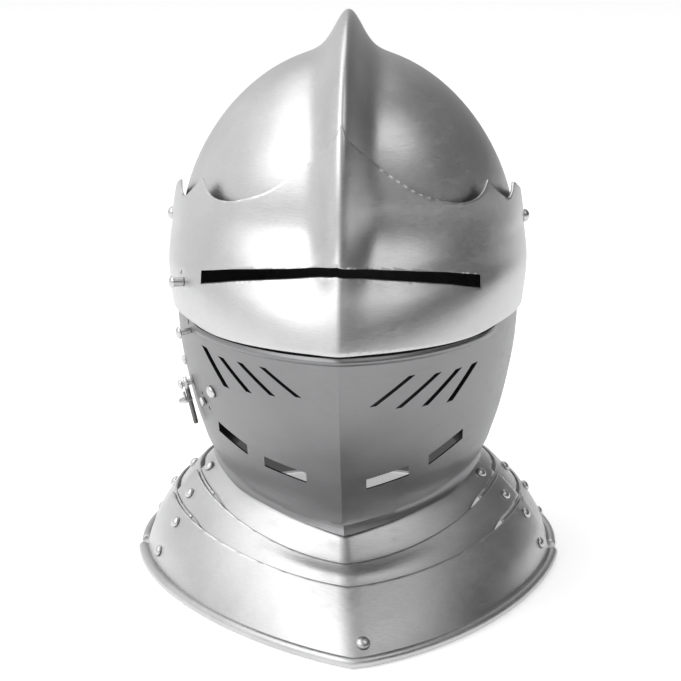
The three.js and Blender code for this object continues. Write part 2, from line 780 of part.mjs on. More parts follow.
// Slits and slots from outer end to inner one, as shares of the skull's half width and of the neck's drop.
const breaths = [
  { outer: -0.8, outerDrop: 0.404, inner: -0.665, innerDrop: 0.547 },
  { outer: -0.69, outerDrop: 0.415, inner: -0.521, innerDrop: 0.532 },
  { outer: -0.57, outerDrop: 0.407, inner: -0.379, innerDrop: 0.516 },
  { outer: -0.433, outerDrop: 0.399, inner: -0.227, innerDrop: 0.499 },
  { outer: 0.4, outerDrop: 0.422, inner: 0.183, innerDrop: 0.531 },
  { outer: 0.547, outerDrop: 0.438, inner: 0.326, innerDrop: 0.557 },
  { outer: 0.664, outerDrop: 0.447, inner: 0.472, innerDrop: 0.574 },
  { outer: 0.758, outerDrop: 0.45, inner: 0.613, innerDrop: 0.588 },
];
const slots = [
  { outer: -0.747, outerDrop: 0.775, inner: -0.562, innerDrop: 0.829 },
  { outer: -0.457, outerDrop: 0.858, inner: -0.203, innerDrop: 0.886 },
  { outer: 0.384, outerDrop: 0.879, inner: 0.142, innerDrop: 0.907 },
  { outer: 0.7, outerDrop: 0.779, inner: 0.5, innerDrop: 0.854 },
];

// The ends of the slits are cut level and those of the slots upright, so aside is half of a side of the cut.
function slitOutline(slit, aside) {
  const outer = new THREE.Vector2(skullHalfWidth * slit.outer, -neckDrop * slit.outerDrop);
  const inner = new THREE.Vector2(skullHalfWidth * slit.inner, -neckDrop * slit.innerDrop);
  const outerCorners = [outer.clone().add(aside), outer.clone().sub(aside)];
  const innerCorners = [inner.clone().sub(aside), inner.clone().add(aside)];
  return new THREE.Shape([...outerCorners, ...innerCorners]);
}

let bevorSolid = plate({
  surface: bevorPoint,
  angles: ridgedAngles(bevorWrap, 14, 0.25),
  low: bevorBottom,
  high: bevorTop,
  rows: 9,
  thickness: bevorPlate,
}).subtract(bore);
const breathAside = new THREE.Vector2(breathWidth / 2, 0);
const slotAside = new THREE.Vector2(0, slotHeight / 2);
for (const slit of breaths) {
  bevorSolid = bevorSolid.subtract(fromAhead(slitOutline(slit, breathAside), cheekEdge));
}
for (const slot of slots) {
  bevorSolid = bevorSolid.subtract(fromAhead(slitOutline(slot, slotAside), cheekEdge));
}
// The catch side, towards the wearer's right: angles round, and rises as shares of the neck's drop.
const seats = {
  bevorPeg: { angle: -60, rise: -0.373 },
  bevorPegSlot: { angle: -61.3, rise: -0.334 },
  sideRivet: { angle: -75.5, rise: -0.568 },
  catchPeg: { angle: -71, rise: -0.646 },
  catchSlot: { angle: -67, rise: -0.633 },
  keeperStud: { angle: -50.5, rise: -0.607 },
  button: { angle: -59, rise: -0.685 },
  buttonHole: { angle: -59.3, rise: -0.651 },
  buttonSlot: { angle: -55.8, rise: -0.705 },
};

function onBevor(name) {
  return [bevorPoint, seats[name].angle * degree, seats[name].rise * neckDrop];
}

const bevorCuts = [
  ["bevorPegSlot", new THREE.BoxGeometry(pegSlotWidth, pegSlotLength, cutDepth)],
  ["catchSlot", new THREE.BoxGeometry(pegSlotWidth, catchSlotLength, cutDepth)],
  ["buttonHole", roundCutter(smallHole)],
  ["buttonSlot", new THREE.BoxGeometry(pegSlotWidth, 1.4 * pegSlotWidth, cutDepth)],
];
for (const [name, cutter] of bevorCuts) {
  bevorSolid = bevorSolid.subtract(holeThrough(...onBevor(name), cutter));
}
addPiece("bevor", bevorSolid, steel.bevor);
addPiece("bevor_peg", peg(...onBevor("bevorPeg"), bevorPegSize), steel.rivet);
addPiece("side_rivet", rivet(...onBevor("sideRivet"), sideRivet, 10), steel.rivet);
addPiece("keeper_stud", rivet(...onBevor("keeperStud"), studRadius, 10), steel.rivet);
addPiece("catch_peg", peg(...onBevor("catchPeg"), catchPegSize), steel.rivet);

const button = new THREE.BoxGeometry(buttonSize, buttonSize, buttonHeight).rotateZ(buttonTurn * degree);
button.translate(0, 0, buttonHeight / 2);
addPiece("spring_button", tipped(button, seatOn(...onBevor("button"), seatGap)), steel.rivet);

// An eye round the catch peg, a rod that hangs from it, a collar on the rod and a link up from the collar.
function catchHook() {
  const hole = catchPegSize.stem + eyeGap;
  const outer = hole + eyeWall;
  const middle = eyeLift + eyeHeight / 2;
  const ring = [[hole, 0], [outer, 0], [outer, eyeHeight], [hole, eyeHeight], [hole, 0]];
  const eye = solidFrom(turned(ring, 12).translate(0, 0, eyeLift));
  const rodTop = -hole - eyeWall / 2;
  const rodHeight = rodLength + rodTop;
  const rod = new THREE.CylinderGeometry(rodRadius, rodRadius, rodHeight, 8);
  rod.translate(0, rodTop - rodHeight / 2, middle);
  const collar = new THREE.CylinderGeometry(collarRadius, collarRadius, collarHeight, 12);
  const collarLift = middle + collarRadius - rodRadius - seatGap;
  collar.translate(0, -collarDrop, collarLift);
  const linkHeight = collarDrop - catchPegSize.head - 2 * linkRadius;
  const link = new THREE.CylinderGeometry(linkRadius, linkRadius, linkHeight, 6);
  link.translate(0, -collarDrop + linkHeight / 2, collarLift);
  const hook = eye.add(solidFrom(rod)).add(solidFrom(collar)).add(solidFrom(link));
  return hook.transform(seatOn(...onBevor("catchPeg"), seatGap).toArray());
}
addPiece("catch_hook", catchHook(), steel.rivet);

// Pivots

// A shank through skull, bevor and visor, with a burr inside the skull and a domed head outside the visor.
function pivotRivet(side) {
  const inside = skullHalfWidth - skullPlate - burrGap - burrHeight;
  const outside = visorHalfWidth + seatGap - inside;
  const headHeight = 0.85 * pivotHead;
  const burr = [[0, 0], [pivotBurr, 0], [pivotBurr, burrHeight]];
  const shank = [[pivotShank, burrHeight], [pivotShank, outside]];
  const geometry = turned([...burr, ...shank, ...domeProfile(pivotHead, headHeight, outside)], 12);
  const quarterTurn = new THREE.Matrix4().makeRotationY((side * Math.PI) / 2);
  return tipped(geometry, quarterTurn.setPosition(side * inside, 0, 0));
}
addPiece("pivot_rivet_left", pivotRivet(1), steel.rivet);
addPiece("pivot_rivet_right", pivotRivet(-1), steel.rivet);


// Gorget lames

function rangeAngles(from, to, step) {
  const angles = [];
  const count = Math.round((to - from) / step);
  for (let i = 0; i <= count; i += 1) angles.push((from + ((to - from) * i) / count) * degree);
  return angles;
}

// The rolled rim: a tube turned outwards along a lame's lower edge, flat underneath.
function rolledRim(surface, angles) {
  const sides = 6;
  const corner = rollRadius / Math.cos(Math.PI / sides);
  const positions = [];
  const index = [];
  for (const angle of angles) {
    const centre = surface(angle, -1);
    const out = normalOf(surface, angle, -1);
    const aside = new THREE.Vector3(out.x, out.y, 0).normalize();
    centre.addScaledVector(aside, rollRadius - lamePlate);
    for (let i = 0; i < sides; i += 1) {
      const turn = (i / sides) * 2 * Math.PI;
      const ring = centre.clone().addScaledVector(aside, corner * Math.cos(turn));
      positions.push(ring.x, ring.y, ring.z + corner * Math.sin(turn));
    }
  }
  const last = (angles.length - 1) * sides;
  for (let i = 0; i < angles.length - 1; i += 1) {
    for (let j = 0; j < sides; j += 1) {
      const [a, b] = [i * sides + j, i * sides + ((j + 1) % sides)];
      index.push(a, a + sides, b + sides, a, b + sides, b);
    }
  }
  for (let j = 1; j < sides - 1; j += 1) {
    index.push(0, j, j + 1, last, last + j + 1, last + j);
  }
  const geometry = new THREE.BufferGeometry();
  geometry.setAttribute("position", new THREE.Float32BufferAttribute(positions, 3));
  geometry.setIndex(index);
  return solidFrom(geometry);
}

for (const lame of lames) {
  const topEdge = () => -lame.top;
  let front = plate({
    surface: lameSurface(lameStep * lame.number),
    angles: rangeAngles(-frontLameWrap, frontLameWrap, lameStation),
    low: frontEdge(lame),
    high: topEdge,
    rows: lame.rows,
    thickness: lamePlate,
  });
  let back = plate({
    surface: lameSurface(lameStep * (lame.number - 1)),
    angles: rangeAngles(backLameStart, 360 - backLameStart, lameStation),
    low: backEdge(lame),
    high: topEdge,
    rows: lame.rows,
    thickness: lamePlate,
  });
  if (lame.bottom === 1) {
    const frontRoll = rangeAngles(-frontLameWrap, frontLameWrap, lameStation);
    const backRoll = rangeAngles(frontLameWrap + rollGap, 360 - frontLameWrap - rollGap, lameStation);
    front = front.add(rolledRim(lameSurface(lameStep * lame.number), frontRoll));
    back = back.add(rolledRim(lameSurface(lameStep * (lame.number - 1)), backRoll));
  }
  addPiece("front_lame_" + lame.number, front, steel.lame);
  addPiece("back_lame_" + lame.number, back, steel.lame);
}

// Which lame, where round it (the wearer's left is positive) and how far down the gorget.
const lameRivets = [
  { name: "front_rivet_right_1", lame: 1, front: true, degrees: -76, level: 0.292 },
  { name: "front_rivet_right_2", lame: 2, front: true, degrees: -69.5, level: 0.52 },
  { name: "front_rivet_right_3", lame: 3, front: true, degrees: -64, level: 0.675 },
  { name: "front_rivet_right_4", lame: 3, front: true, degrees: -66, level: 0.883 },
  { name: "front_rivet_left_1", lame: 1, front: true, degrees: 71.5, level: 0.271 },
  { name: "front_rivet_left_2", lame: 2, front: true, degrees: 71, level: 0.515 },
  { name: "front_rivet_left_3", lame: 3, front: true, degrees: 73, level: 0.665 },
  { name: "front_rivet_left_4", lame: 3, front: true, degrees: 72.5, level: 0.857 },
  { name: "back_rivet_right_1", lame: 2, front: false, degrees: -97, level: 0.5 },
  { name: "back_rivet_right_2", lame: 3, front: false, degrees: -97, level: 0.66 },
  { name: "back_rivet_right_3", lame: 3, front: false, degrees: -100, level: 0.885 },
  { name: "back_rivet_left_1", lame: 2, front: false, degrees: 97, level: 0.5 },
  { name: "back_rivet_left_2", lame: 3, front: false, degrees: 97, level: 0.66 },
  { name: "back_rivet_left_3", lame: 3, front: false, degrees: 100, level: 0.885 },
];
for (const { name, lame, front, degrees, level } of lameRivets) {
  const layer = lameStep * (front ? lame : lame - 1);
  addPiece(name, rivet(lameSurface(layer), degrees * degree, -level, lameRivet), steel.rivet);
}
const centreSeat = { degrees: 1.2, level: 0.905 };
const frontRim = lameSurface(lameStep * lames.length);
const centreHead = rivet(frontRim, centreSeat.degrees * degree, -centreSeat.level, centreRivet, 10);
addPiece("centre_rivet", centreHead, steel.rivet);

// The origin lies under the middle of the whole helmet.
const middle = new THREE.Box3().setFromObject(helmet).getCenter(new THREE.Vector3());
head.position.x = -middle.x;
head.position.y = -middle.y;

export default helmet;
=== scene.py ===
"""Dresses the packed close helmet: fine plates, satin steel, a pale floor and soft light."""
import math

import bmesh
import bpy
from mathutils import Matrix, Vector


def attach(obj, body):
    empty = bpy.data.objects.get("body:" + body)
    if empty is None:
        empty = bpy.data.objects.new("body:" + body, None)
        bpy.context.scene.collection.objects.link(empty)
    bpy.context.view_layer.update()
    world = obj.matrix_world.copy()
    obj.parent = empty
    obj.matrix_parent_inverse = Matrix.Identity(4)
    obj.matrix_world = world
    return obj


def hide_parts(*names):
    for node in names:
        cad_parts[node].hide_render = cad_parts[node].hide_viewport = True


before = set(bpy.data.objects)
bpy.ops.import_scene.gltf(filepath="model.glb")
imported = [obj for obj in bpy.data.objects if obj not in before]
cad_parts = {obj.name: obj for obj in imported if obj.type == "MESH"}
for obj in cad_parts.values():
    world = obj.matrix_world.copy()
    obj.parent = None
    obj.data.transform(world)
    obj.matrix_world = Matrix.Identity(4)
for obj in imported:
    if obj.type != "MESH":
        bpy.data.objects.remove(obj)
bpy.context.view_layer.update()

DEG = math.pi / 180
MM = 0.001

# Sizes in millimetres, about the pivots, as the CAD has them
PIVOT = Vector((-0.0556, 15.0168, 212.0))
HALF_WIDTH = 97.5
CROWN = 99.0
FULLNESS, VISOR_FULLNESS = 0.62, 0.56
NAPE = 118.0
COMB = 21.0
COMB_SPREAD = 10.5
# Where the comb and the nape set in, as shares of the crown's rise
COMB_BEHIND, COMB_AHEAD, NAPE_FADE = (-0.5, 0.75), (0.12, 0.55), (0, 0.75)
NECK = 146.0
SKULL_FOOT = -NECK - 6.0
SKULL_PLATE, VISOR_PLATE, BEVOR_PLATE, LAME_PLATE = 1.6, 1.5, 1.5, 1.3
BEVOR_GAP, VISOR_GAP, BROW_GAP, LAME_GAP, SEAT_GAP = 1.5, 1.6, 2.5, 0.5, 0.3
LAME_STEP = LAME_PLATE + LAME_GAP
BROW_EDGE, CHEEK_EDGE, BROW_CORNER = 14.0, 30.0, 18.0
PROW, VISOR_WRAP, RIDGE_SPREAD = 147.0, 106.0, 11.5
BEVOR_REACH, BEVOR_WRAP, RIM_TURN, RIM_BAND = 146.0, 97.0, 1.6, 4.5
GORGET_WIDTH, GORGET_FRONT, GORGET_BACK, GORGET_SHIFT = 121.0, 160.0, 136.0, 14.0
ROLL, KEEL_LEAN = 3.0, 4.0
GORGET_DROP = PIVOT.z - ROLL - NECK
VISOR_CROWN = CROWN + BROW_GAP + VISOR_PLATE
VISOR_RIDGE = CROWN + COMB + BROW_GAP + VISOR_PLATE
VISOR_WIDTH = HALF_WIDTH + BEVOR_GAP + BEVOR_PLATE + VISOR_GAP + VISOR_PLATE

# Where one form passes into the next: the prow into the dome by its rise, the bevor's room for the lames
# by its level, its rim's bead by its degrees, its foot by the distance, and the lames' edges by degrees
PROW_FADE, ROOM_FADE, BEAD_FADE, FOOT_FADE = (-6, 22), (-0.8, -1), (48, 60), (-1.5, 0)
FRONT_FADE, BACK_FADE = (60, 44), (88, 104)
NECK_ROOM = 3.0

# Openings: half sizes, radii of holes and the width of the catch's slots, then how far each cutter reaches
SIGHT_HALF_LENGTH, SIGHT_HALF_HEIGHT, SIGHT_SHIFT = 77.5, 2.4, 1.5
BREATH_HALF, SLOT_HALF = 1.8, 3.8
PIVOT_HOLE, PIN_HOLE, CATCH_SLOT = 2.9, 1.1, 1.8
PIVOT_SPAN, OPENING_SPAN, AHEAD_SPAN, PLATE_SPAN = (-120, 120), (-130, 130), (CHEEK_EDGE, 170), (-4, 4)
OPENING_FOOT, OPENING_FRONT = -190, 220

# Fittings: radii, heights and shares of their radius
LAME_RIVET, SIDE_RIVET, KEEPER_STUD, CENTRE_RIVET = 3.4, 3, 3.9, 4
CATCH_DEGREES, CATCH_LEVEL = -71, -0.646
DOME_RISE, DOME_FOOT, DOME_LIFT = 0.62, 0.98, 0.15
PEG_LIP, PEG_LIP_HEIGHT = 0.92, 0.25
BUTTON_HALF, BUTTON_HEIGHT, BUTTON_TURN = 2.2, 2, 40
EYE_BORE, EYE_RADIUS, EYE_FOOT, EYE_TOP = 2.2, 3.9, 2.4, 4.6
ROD_RADIUS, ROD_TIP, ROD_TIP_HEIGHT, ROD_FOOT, ROD_TOP, ROD_LIFT = 1.4, 1.1, 0.4, -26, -3.05, 3.5
RING_RADIUS, RING_EDGE, RING_ROUND, RING_HEIGHT, RING_FOOT, RING_LIFT = 4.3, 4.0, 0.3, 1.4, -10.7, 6.1
LINK_RADIUS, LINK_FOOT, LINK_TOP = 0.9, -10, -4.9
BURR_RADIUS, BURR_HEIGHT, BURR_ROOM = 4.6, 1.2, 1
PIVOT_STEM, PIVOT_FOOT, PIVOT_HEAD, PIVOT_CAP, PIVOT_LIFT = 2.6, 3.8, 3.9, 3.3, 0.1

# Rounds along the edges, and the least angle in degrees of an edge that is rounded or shaded sharp
PLATE_ROUND, THIN_ROUND, ROLL_ROUND, HOOK_ROUND = 0.35, 0.3, 0.5, 0.15
SHARP, ROLL_SHARP, BEVOR_SHARP = 40, 50, 14


def smooth_step(start, end, at):
    share = min(max((at - start) / (end - start), 0.0), 1.0)
    return share * share * (3 - 2 * share)


def mix(a, b, share):
    return a + (b - a) * share


def furthest(inside, far, halvings):
    """The furthest value on the way from 0 to far that is still inside."""
    near = 0.0
    for _ in range(halvings):
        middle = (near + far) / 2
        if inside(middle):
            near = middle
        else:
            far = middle
    return near


def read(rows, column, at):
    """A column of a table read smoothly between its rows, which ascend by their first column."""
    last = len(rows) - 1
    if at <= rows[0][0]:
        return rows[0][column]
    if at >= rows[last][0]:
        return rows[last][column]
    upper = next(i for i, row in enumerate(rows) if row[0] > at)

    def slope(i):
        before, after = rows[max(i - 1, 0)], rows[min(i + 1, last)]
        return (after[column] - before[column]) / (after[0] - before[0])

    low, high = rows[upper - 1], rows[upper]
    span = high[0] - low[0]
    share = (at - low[0]) / span
    rest = 1 - share
    return (low[column] * rest * rest * (1 + 2 * share) + high[column] * share * share * (3 - 2 * share)
            + slope(upper - 1) * span * share * rest * rest - slope(upper) * span * share * share * rest)


# Skull: level, width, front, back, point
SKULL = [
    (-1.05, 0.762, 0.56, 0.678, 1.0), (-0.99, 0.765, 0.56, 0.678, 1.0), (-0.91, 0.832, 0.7, 0.7, 1.0),
    (-0.8, 0.905, 0.87, 0.75, 1.0), (-0.6, 0.97, 0.97, 0.86, 1.04), (-0.45, 1.0, 1.0, 0.93, 1.1),
    (-0.25, 1.01, 1.0, 0.98, 1.18), (0.0, 1.0, 1.0, 1.0, 1.24),
]


def comb_share(rise, behind):
    share = rise / CROWN
    return smooth_step(*(COMB_BEHIND if behind else COMB_AHEAD), share)


def back_stretch(rise):
    return 1 + (NAPE / CROWN - 1) * (1 - smooth_step(*NAPE_FADE, rise / CROWN))


def dome_radius(side, half_width, radius, fullness):
    return radius * max(1 - (side / half_width) ** 2, 0) ** fullness


def comb_at(side, rise, behind, inset):
    return COMB * comb_share(rise, behind) * math.exp(-((side / (COMB_SPREAD - inset)) ** 2))


def skull_width(rise):
    return HALF_WIDTH * read(SKULL, 1, rise / NECK)


def skull_below(angle, rise, inset):
    level = rise / NECK
    behind = math.cos(angle) < 0
    side = (skull_width(rise) - inset) * math.sin(angle)
    turn = abs(math.cos(angle)) ** read(SKULL, 4, level)
    comb = comb_at(side, rise, behind, inset)
    reach = ((NAPE if behind else CROWN) * read(SKULL, 3 if behind else 2, level) - inset) * turn
    return Vector((side, reach + comb * back_stretch(rise) if behind else -reach - comb, rise))


def skull_above(angle, swing, inset):
    behind = math.cos(swing) < 0
    side = (HALF_WIDTH - inset) * math.sin(angle)
    rise = CROWN * math.sin(swing)
    radius = dome_radius(side, HALF_WIDTH - inset, CROWN - inset, FULLNESS)
    radius += comb_at(side, rise, behind, inset)
    stretch = back_stretch(rise) if behind else 1
    return Vector((side, -radius * math.cos(swing) * stretch, radius * math.sin(swing)))


# Visor: level, width, reach, keel, ridge
VISOR = [
    (-0.44, 0.987, 0.99, 0.13, 1.0), (-0.31, 1.006, 0.985, 0.13, 1.0), (-0.22, 1.02, 0.96, 0.13, 0.975),
    (-0.15, 1.024, 0.915, 0.12, 0.945), (-0.08, 1.015, 0.855, 0.13, 0.91), (0.0, 1.0, 0.79, 0.1, 0.88),
    (0.1, 1.0, 0.74, 0.08, 0.855),
]
# The scalloped brow in three runs that meet at cusps: degrees round, rise as a share of the crown
SCALLOPS = [
    [(0, 0.72), (3, 0.635), (7, 0.56), (12, 0.475), (18, 0.395), (25, 0.315), (31, 0.273), (38, 0.238),
     (45, 0.23), (51, 0.257), (56, 0.32)],
    [(56, 0.32), (61, 0.235), (66, 0.182), (71, 0.2), (76, 0.25)],
    [(76, 0.25), (83, 0.2), (93, 0.15), (106, 0.05)],
]
# Hems and rims: degrees round, drop as a share of the neck's
VISOR_HEM = [
    (0, 0.309), (20, 0.314), (43, 0.323), (58, 0.315), (74, 0.32), (86, 0.315), (96, 0.25), (106, 0.09),
]


def visor_dome(side):
    return dome_radius(side, VISOR_WIDTH, VISOR_CROWN, VISOR_FULLNESS)


def visor_width(rise):
    if rise <= 0:
        return VISOR_WIDTH * read(VISOR, 1, rise / NECK)
    return furthest(lambda side: visor_dome(side) > rise, VISOR_WIDTH, 40)


def keeled(angle, reach, keel):
    ahead = max(math.cos(angle), 0)
    return reach * ((1 - keel) * ahead + keel * max(1 - abs(math.sin(angle)), 0))


def visor_point(angle, rise):
    widest = visor_width(rise)
    if math.cos(angle) < 0:
        return Vector((math.copysign(widest, math.sin(angle)), -VISOR_CROWN * math.cos(angle), rise))
    side = widest * math.sin(angle)
    level = rise / NECK
    crown = math.sqrt(max(visor_dome(side) ** 2 - rise ** 2, 0))
    prow = keeled(angle, PROW * read(VISOR, 2, level), read(VISOR, 3, level))
    share = 1 - smooth_step(*PROW_FADE, rise)
    base = mix(crown, prow, share)
    middle = mix(math.sqrt(max(VISOR_CROWN ** 2 - rise ** 2, 0)), PROW * read(VISOR, 2, level), share)
    ridge = mix(math.sqrt(max(VISOR_RIDGE ** 2 - rise ** 2, 0)), PROW * read(VISOR, 4, level), share)
    raised = max(ridge - middle, 0) * math.exp(-((side / RIDGE_SPREAD) ** 2))
    return Vector((side, -base - raised, rise))


def visor_top(angle):
    degrees = abs(angle) / DEG
    run = next((r for r in SCALLOPS if degrees <= r[-1][0]), SCALLOPS[-1])
    return CROWN * read(run, 1, degrees)


def visor_bottom(angle):
    return -NECK * read(VISOR_HEM, 1, abs(angle) / DEG)


# Bevor: level, reach, keel
BEVOR = [
    (-1.16, 0.665, 0.3), (-1.07, 0.665, 0.3), (-0.98, 0.7, 0.3), (-0.85, 0.78, 0.29), (-0.7, 0.865, 0.27),
    (-0.55, 0.935, 0.22), (-0.42, 0.98, 0.18), (-0.33, 1.0, 0.15), (0.0, 0.98, 0.15),
]
BEVOR_RIM = [
    (0, 0.3175), (25, 0.326), (45, 0.333), (58, 0.328), (66, 0.275), (78, 0.05), (86, -0.055), (97, -0.04),
]
BEVOR_HEM = [(0, 1.125), (20, 1.1), (33, 1.08), (48, 1.06), (62, 1.03), (76, 1.008), (97, 1.0)]
HEM_LAYER = LAME_STEP + 2 * LAME_GAP + BEVOR_PLATE


def bevor_top(angle):
    return -NECK * read(BEVOR_RIM, 1, abs(angle) / DEG)


def bevor_bottom(angle):
    return -NECK * read(BEVOR_HEM, 1, abs(angle) / DEG)


def bevor_point(angle, rise):
    level = rise / NECK
    room = 2 * LAME_STEP * smooth_step(*ROOM_FADE, level)
    side = (skull_width(min(rise, 0)) + BEVOR_GAP + BEVOR_PLATE + room) * math.sin(angle)
    if math.cos(angle) < 0:
        return Vector((side, -NAPE * math.cos(angle), rise))
    top = bevor_top(angle)
    bead = math.sin(math.pi * min(max((rise - top) / RIM_BAND + 1, 0), 1))
    band = bead * (1 - smooth_step(*BEAD_FADE, abs(angle) / DEG))
    outward = 1 + RIM_TURN * band / BEVOR_REACH
    reach = keeled(angle, BEVOR_REACH * read(BEVOR, 1, level), read(BEVOR, 2, level))
    upper = Vector((side * outward, -reach * outward, rise))
    if rise > gorget_point(angle, 0).z:
        return upper
    foot = gorget_layer(angle, gorget_level(angle, rise), HEM_LAYER)
    beyond = math.hypot(foot.x, foot.y) - math.hypot(upper.x, upper.y)
    return upper.lerp(foot, smooth_step(*FOOT_FADE, beyond))


# Gorget: level, side drop, front drop, back drop, width, front, back, keel
GORGET = [
    (0.0, -0.02, 0.05, 0.0, 0.0, 0.56, 0.0, 0.3), (0.2, 0.07, 0.27, 0.1, 0.059, 0.585, 0.05, 0.3),
    (0.4, 0.18, 0.47, 0.22, 0.266, 0.672, 0.256, 0.3), (0.6, 0.42, 0.58, 0.45, 0.571, 0.745, 0.512, 0.29),
    (0.8, 0.73, 0.8, 0.74, 0.862, 0.88, 0.795, 0.29), (1.0, 1.0, 1.0, 1.0, 1.0, 1.0, 1.0, 0.29),
]
NECK_WIDTH = HALF_WIDTH * SKULL[0][1] + NECK_ROOM
NECK_BACK = NAPE * SKULL[0][3] + NECK_ROOM


def gorget_point(angle, level):
    ahead = math.cos(angle)
    shift = GORGET_SHIFT * level
    lean = KEEL_LEAN * DEG * level * ahead * ahead if ahead > 0 else 0
    side = mix(NECK_WIDTH, GORGET_WIDTH, read(GORGET, 4, level)) * math.sin(angle + lean)
    drop = mix(read(GORGET, 1, level), read(GORGET, 2 if ahead > 0 else 3, level), ahead * ahead)
    z = -NECK - GORGET_DROP * drop
    if ahead < 0:
        depth = mix(NECK_BACK, GORGET_BACK, read(GORGET, 6, level)) - shift
        return Vector((side, shift - depth * ahead, z))
    reach = GORGET_FRONT * read(GORGET, 5, level) + shift
    return Vector((side, shift - keeled(angle, reach, read(GORGET, 7, level)), z))


def normal_of(surface, angle, level, step=1e-3):
    across = surface(angle + step, level) - surface(angle - step, level)
    along = surface(angle, level + step) - surface(angle, level - step)
    return across.cross(along).normalized()


def gorget_layer(angle, level, layer):
    out = -normal_of(gorget_point, angle, min(max(level, 0.01), 0.99))
    flat = out.x * out.x + out.y * out.y
    return gorget_point(angle, level) + Vector((out.x, out.y, 0)) * (layer / flat)


def gorget_level(angle, rise):
    return furthest(lambda level: gorget_point(angle, level).z > rise, 1.0, 24)


def lame_surface(layer):
    return lambda angle, level: gorget_layer(angle, -level, layer)


# Lame: number, top, bottom, short edge
LAMES = [(1, 0.0, 0.46, 0.394), (2, 0.4, 0.66, 0.594), (3, 0.6, 1.0, 1.0)]


def front_edge(lame):
    return lambda angle: -mix(lame[3], lame[2], smooth_step(*FRONT_FADE, abs(angle) / DEG))


def back_edge(lame):
    return lambda angle: -mix(lame[3], lame[2], smooth_step(*BACK_FADE, 180 - abs(angle / DEG - 180)))


# Mesh tools

def to_world(point):
    return (point + PIVOT) * MM


def mesh_object(name, points, faces):
    mesh = bpy.data.meshes.new(name)
    mesh.from_pydata([to_world(p) for p in points], [], faces)
    mesh.validate()
    obj = bpy.data.objects.new(name, mesh)
    bpy.context.scene.collection.objects.link(obj)
    return obj


def spread(low, high, count):
    return [low + (high - low) * i / count for i in range(count + 1)]


def ridged(reach, half_count, crowding):
    shares = [i / half_count for i in range(-half_count, half_count + 1)]
    return [reach * DEG * ((1 - crowding) * s + crowding * s ** 3) for s in shares]


def add_face(faces, corners):
    """Adds a face, or none where its corners fall together."""
    corners = list(dict.fromkeys(corners))
    if len(corners) > 2:
        faces.append(tuple(corners))


def plate(name, surface, angles, low, high, rows, thickness, crowding=1.0):
    """A plate between two edges: its outer sheet, its inner one and the walls between them.

    Crowding gathers its rows towards the high edge.
    """
    points, faces = [], []
    wide = rows + 1
    size = len(angles) * wide
    for inset in (0, thickness):
        for angle in angles:
            for row in range(wide):
                level = mix(high(angle), low(angle), (1 - row / rows) ** crowding)
                points.append(surface(angle, level) - normal_of(surface, angle, level) * inset)

    def at(sheet, i, j):
        return sheet * size + i * wide + j

    for i in range(len(angles) - 1):
        for j in range(rows):
            faces.append((at(0, i, j), at(0, i + 1, j), at(0, i + 1, j + 1), at(0, i, j + 1)))
            faces.append((at(1, i, j), at(1, i, j + 1), at(1, i + 1, j + 1), at(1, i + 1, j)))
        faces.append((at(0, i, 0), at(1, i, 0), at(1, i + 1, 0), at(0, i + 1, 0)))
        faces.append((at(0, i, rows), at(0, i + 1, rows), at(1, i + 1, rows), at(1, i, rows)))
    end = len(angles) - 1
    for j in range(rows):
        faces.append((at(0, 0, j), at(0, 0, j + 1), at(1, 0, j + 1), at(1, 0, j)))
        faces.append((at(0, end, j), at(1, end, j), at(1, end, j + 1), at(0, end, j + 1)))
    return mark_inside(mesh_object(name, points, faces), size)


def mark_inside(obj, first):
    """Gives the faces of the inner sheet, whose points start at first, their own material."""
    for polygon in obj.data.polygons:
        polygon.material_index = int(all(i >= first for i in polygon.vertices))
    return obj


def skull_shell(stations, rows, arcs):
    """Rings below the pivots and arcs over the crown above them, outside and inside."""
    gathering, crowding = 0.6, 1.3
    turn = [i / stations for i in range(stations)]
    angles = [2 * math.pi * (t - gathering * math.sin(4 * math.pi * t) / (4 * math.pi)) for t in turn]
    quarter = stations // 4
    ring_size = stations * (rows + 1)
    sheet_size = ring_size + (2 * quarter - 1) * (arcs - 1)
    points, faces = [], []
    for inset in (0, SKULL_PLATE):
        for row in range(rows + 1):
            rise = SKULL_FOOT * (1 - (row / rows) ** crowding)
            points += [skull_below(a, rise, inset) for a in angles]
        for i in range(1 - quarter, quarter):
            for j in range(1, arcs):
                points.append(skull_above(angles[i % stations], math.pi * j / arcs, inset))

    def ring(sheet, i, row):
        return sheet * sheet_size + row * stations + i % stations

    def arc(sheet, i, j):
        if j == 0 or abs(i) == quarter:
            return ring(sheet, i, rows)
        if j == arcs:
            return ring(sheet, 2 * quarter - i, rows)
        return sheet * sheet_size + ring_size + (i + quarter - 1) * (arcs - 1) + j - 1

    def patch(corner, sheet, i, j):
        first = corner(sheet, i, j)
        rest = [corner(sheet, i + 1, j), corner(sheet, i + 1, j + 1), corner(sheet, i, j + 1)]
        add_face(faces, [first, *(rest if sheet == 0 else reversed(rest))])

    for sheet in (0, 1):
        for i in range(stations):
            for row in range(rows):
                patch(ring, sheet, i, row)
        for i in range(-quarter, quarter):
            for j in range(arcs):
                patch(arc, sheet, i, j)
    for i in range(stations):
        faces.append((ring(0, i, 0), ring(1, i, 0), ring(1, i + 1, 0), ring(0, i + 1, 0)))
    return mark_inside(mesh_object("skull_plate", points, faces), sheet_size)


def prism(outline, place, depth):
    """A flat outline drawn out along a depth; place turns (across, up, in) into a point."""
    count = len(outline)
    points = [place(u, v, w) for w in depth for u, v in outline]
    faces = [tuple(range(count)), tuple(range(2 * count - 1, count - 1, -1))]
    faces += [(i, count + i, count + (i + 1) % count, (i + 1) % count) for i in range(count)]
    obj = mesh_object("cutter", points, faces)
    fix_normals(obj)
    return obj


